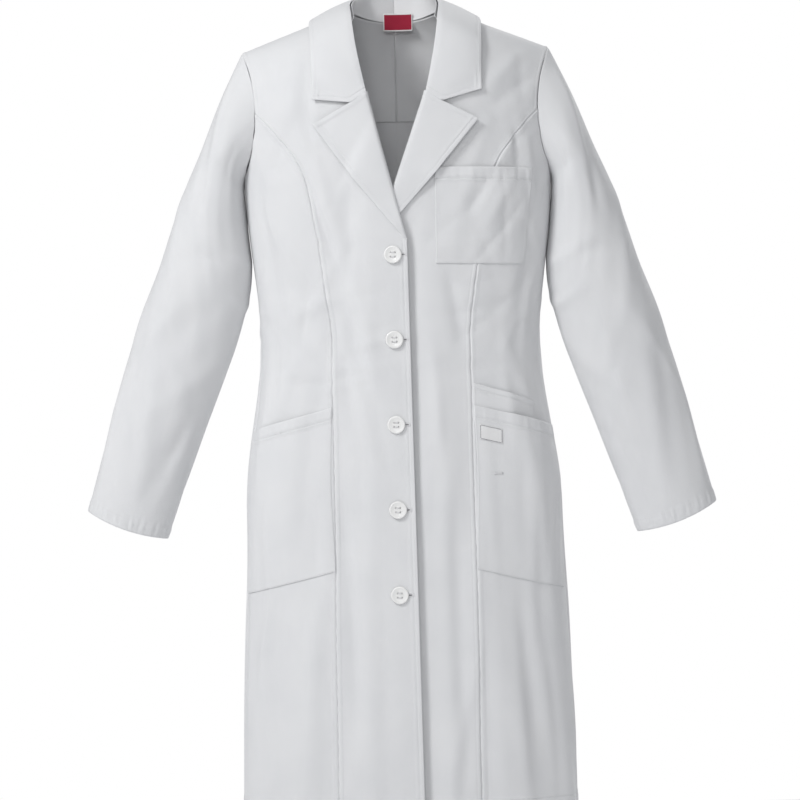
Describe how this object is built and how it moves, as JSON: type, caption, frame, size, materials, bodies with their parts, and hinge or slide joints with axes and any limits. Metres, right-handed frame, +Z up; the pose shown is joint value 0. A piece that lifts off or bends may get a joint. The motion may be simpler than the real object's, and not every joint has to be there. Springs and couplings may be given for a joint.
{
  "type": "lab coat",
  "caption": "Knee-length white lab coat with notched collar, buttoned front, princess seams, chest and hip pockets, opening fronts and sleeves that lift.",
  "frame": {"origin": "centre of the neck opening, level with the back neck seam", "axes": "+Z up, -Y out of the coat's front, +X towards the wearer's left"},
  "size_m": [0.8062, 0.2026, 1.0721],
  "materials": {
    "coat_cloth": "white cotton and polyester twill, matt",
    "button": "white polyester button, soft gloss",
    "thread": "white sewing thread",
    "neck_label": "plain crimson woven label with a pale border",
    "pocket_label": "plain white woven label"
  },
  "bodies": {
    "torso": {"back_left": "coat_cloth", "side_back_left": "coat_cloth", "side_front_left": "coat_cloth", "back_right": "coat_cloth", "side_back_right": "coat_cloth", "side_front_right": "coat_cloth", "left_front_upper": "coat_cloth", "right_front_upper": "coat_cloth", "left_front": "coat_cloth", "collar_stand_left": "coat_cloth", "collar_stand_right": "coat_cloth", "collar_left": "coat_cloth", "collar_right": "coat_cloth", "left_lapel": "coat_cloth", "right_lapel": "coat_cloth", "back_neck_facing_left": "coat_cloth", "back_neck_facing_right": "coat_cloth", "neck_label": "neck_label", "chest_pocket": "coat_cloth", "hip_pocket_left": "coat_cloth", "hip_pocket_right": "coat_cloth", "phone_pocket": "coat_cloth", "pocket_label": "pocket_label"},
    "right_front": {"right_front": "coat_cloth", "right_front_facing": "coat_cloth"},
    "left_front": {"left_front_edge": "coat_cloth", "left_front_facing": "coat_cloth", "button_thread_1": "thread", "button_thread_2": "thread", "button_thread_3": "thread", "button_thread_4": "thread", "button_thread_5": "thread"},
    "left_sleeve": {"top_sleeve_left": "coat_cloth", "under_sleeve_left": "coat_cloth"},
    "right_sleeve": {"top_sleeve_right": "coat_cloth", "under_sleeve_right": "coat_cloth"},
    "button_1": {"button_1": "button"},
    "button_2": {"button_2": "button"},
    "button_3": {"button_3": "button"},
    "button_4": {"button_4": "button"},
    "button_5": {"button_5": "button"}
  },
  "joints": [
    {"name": "right_front_open", "type": "hinge", "parent": "torso", "child": "right_front", "pos_m": [-0.092, -0.0925, -0.6], "axis": [0, 0, -1], "range_deg": [0, 100]},
    {"name": "left_front_open", "type": "hinge", "parent": "torso", "child": "left_front", "pos_m": [0.042, -0.0985, -0.6], "axis": [0, 0, 1], "range_deg": [0, 45]},
    {"name": "left_sleeve_raise", "type": "hinge", "parent": "torso", "child": "left_sleeve", "pos_m": [0.197, 0, -0.038], "axis": [0, -1, 0], "range_deg": [0, 65]},
    {"name": "right_sleeve_raise", "type": "hinge", "parent": "torso", "child": "right_sleeve", "pos_m": [-0.197, 0, -0.038], "axis": [0, 1, 0], "range_deg": [0, 65]},
    {"name": "button_1_turn", "type": "hinge", "parent": "left_front", "child": "button_1", "pos_m": [-0.008, -0.1, -0.308], "axis": [0, 1, 0], "range_deg": [-90, 90]},
    {"name": "button_2_turn", "type": "hinge", "parent": "left_front", "child": "button_2", "pos_m": [-0.008, -0.1, -0.416], "axis": [0, 1, 0], "range_deg": [-90, 90]},
    {"name": "button_3_turn", "type": "hinge", "parent": "left_front", "child": "button_3", "pos_m": [-0.008, -0.1, -0.524], "axis": [0, 1, 0], "range_deg": [-90, 90]},
    {"name": "button_4_turn", "type": "hinge", "parent": "left_front", "child": "button_4", "pos_m": [-0.008, -0.1, -0.632], "axis": [0, 1, 0], "range_deg": [-90, 90]},
    {"name": "button_5_turn", "type": "hinge", "parent": "left_front", "child": "button_5", "pos_m": [-0.008, -0.1, -0.74], "axis": [0, 1, 0], "range_deg": [-90, 90]}
  ],
  "couplings": [
    {"joint": "left_front_open", "follows": "right_front_open", "ratio": 0.45}
  ]
}
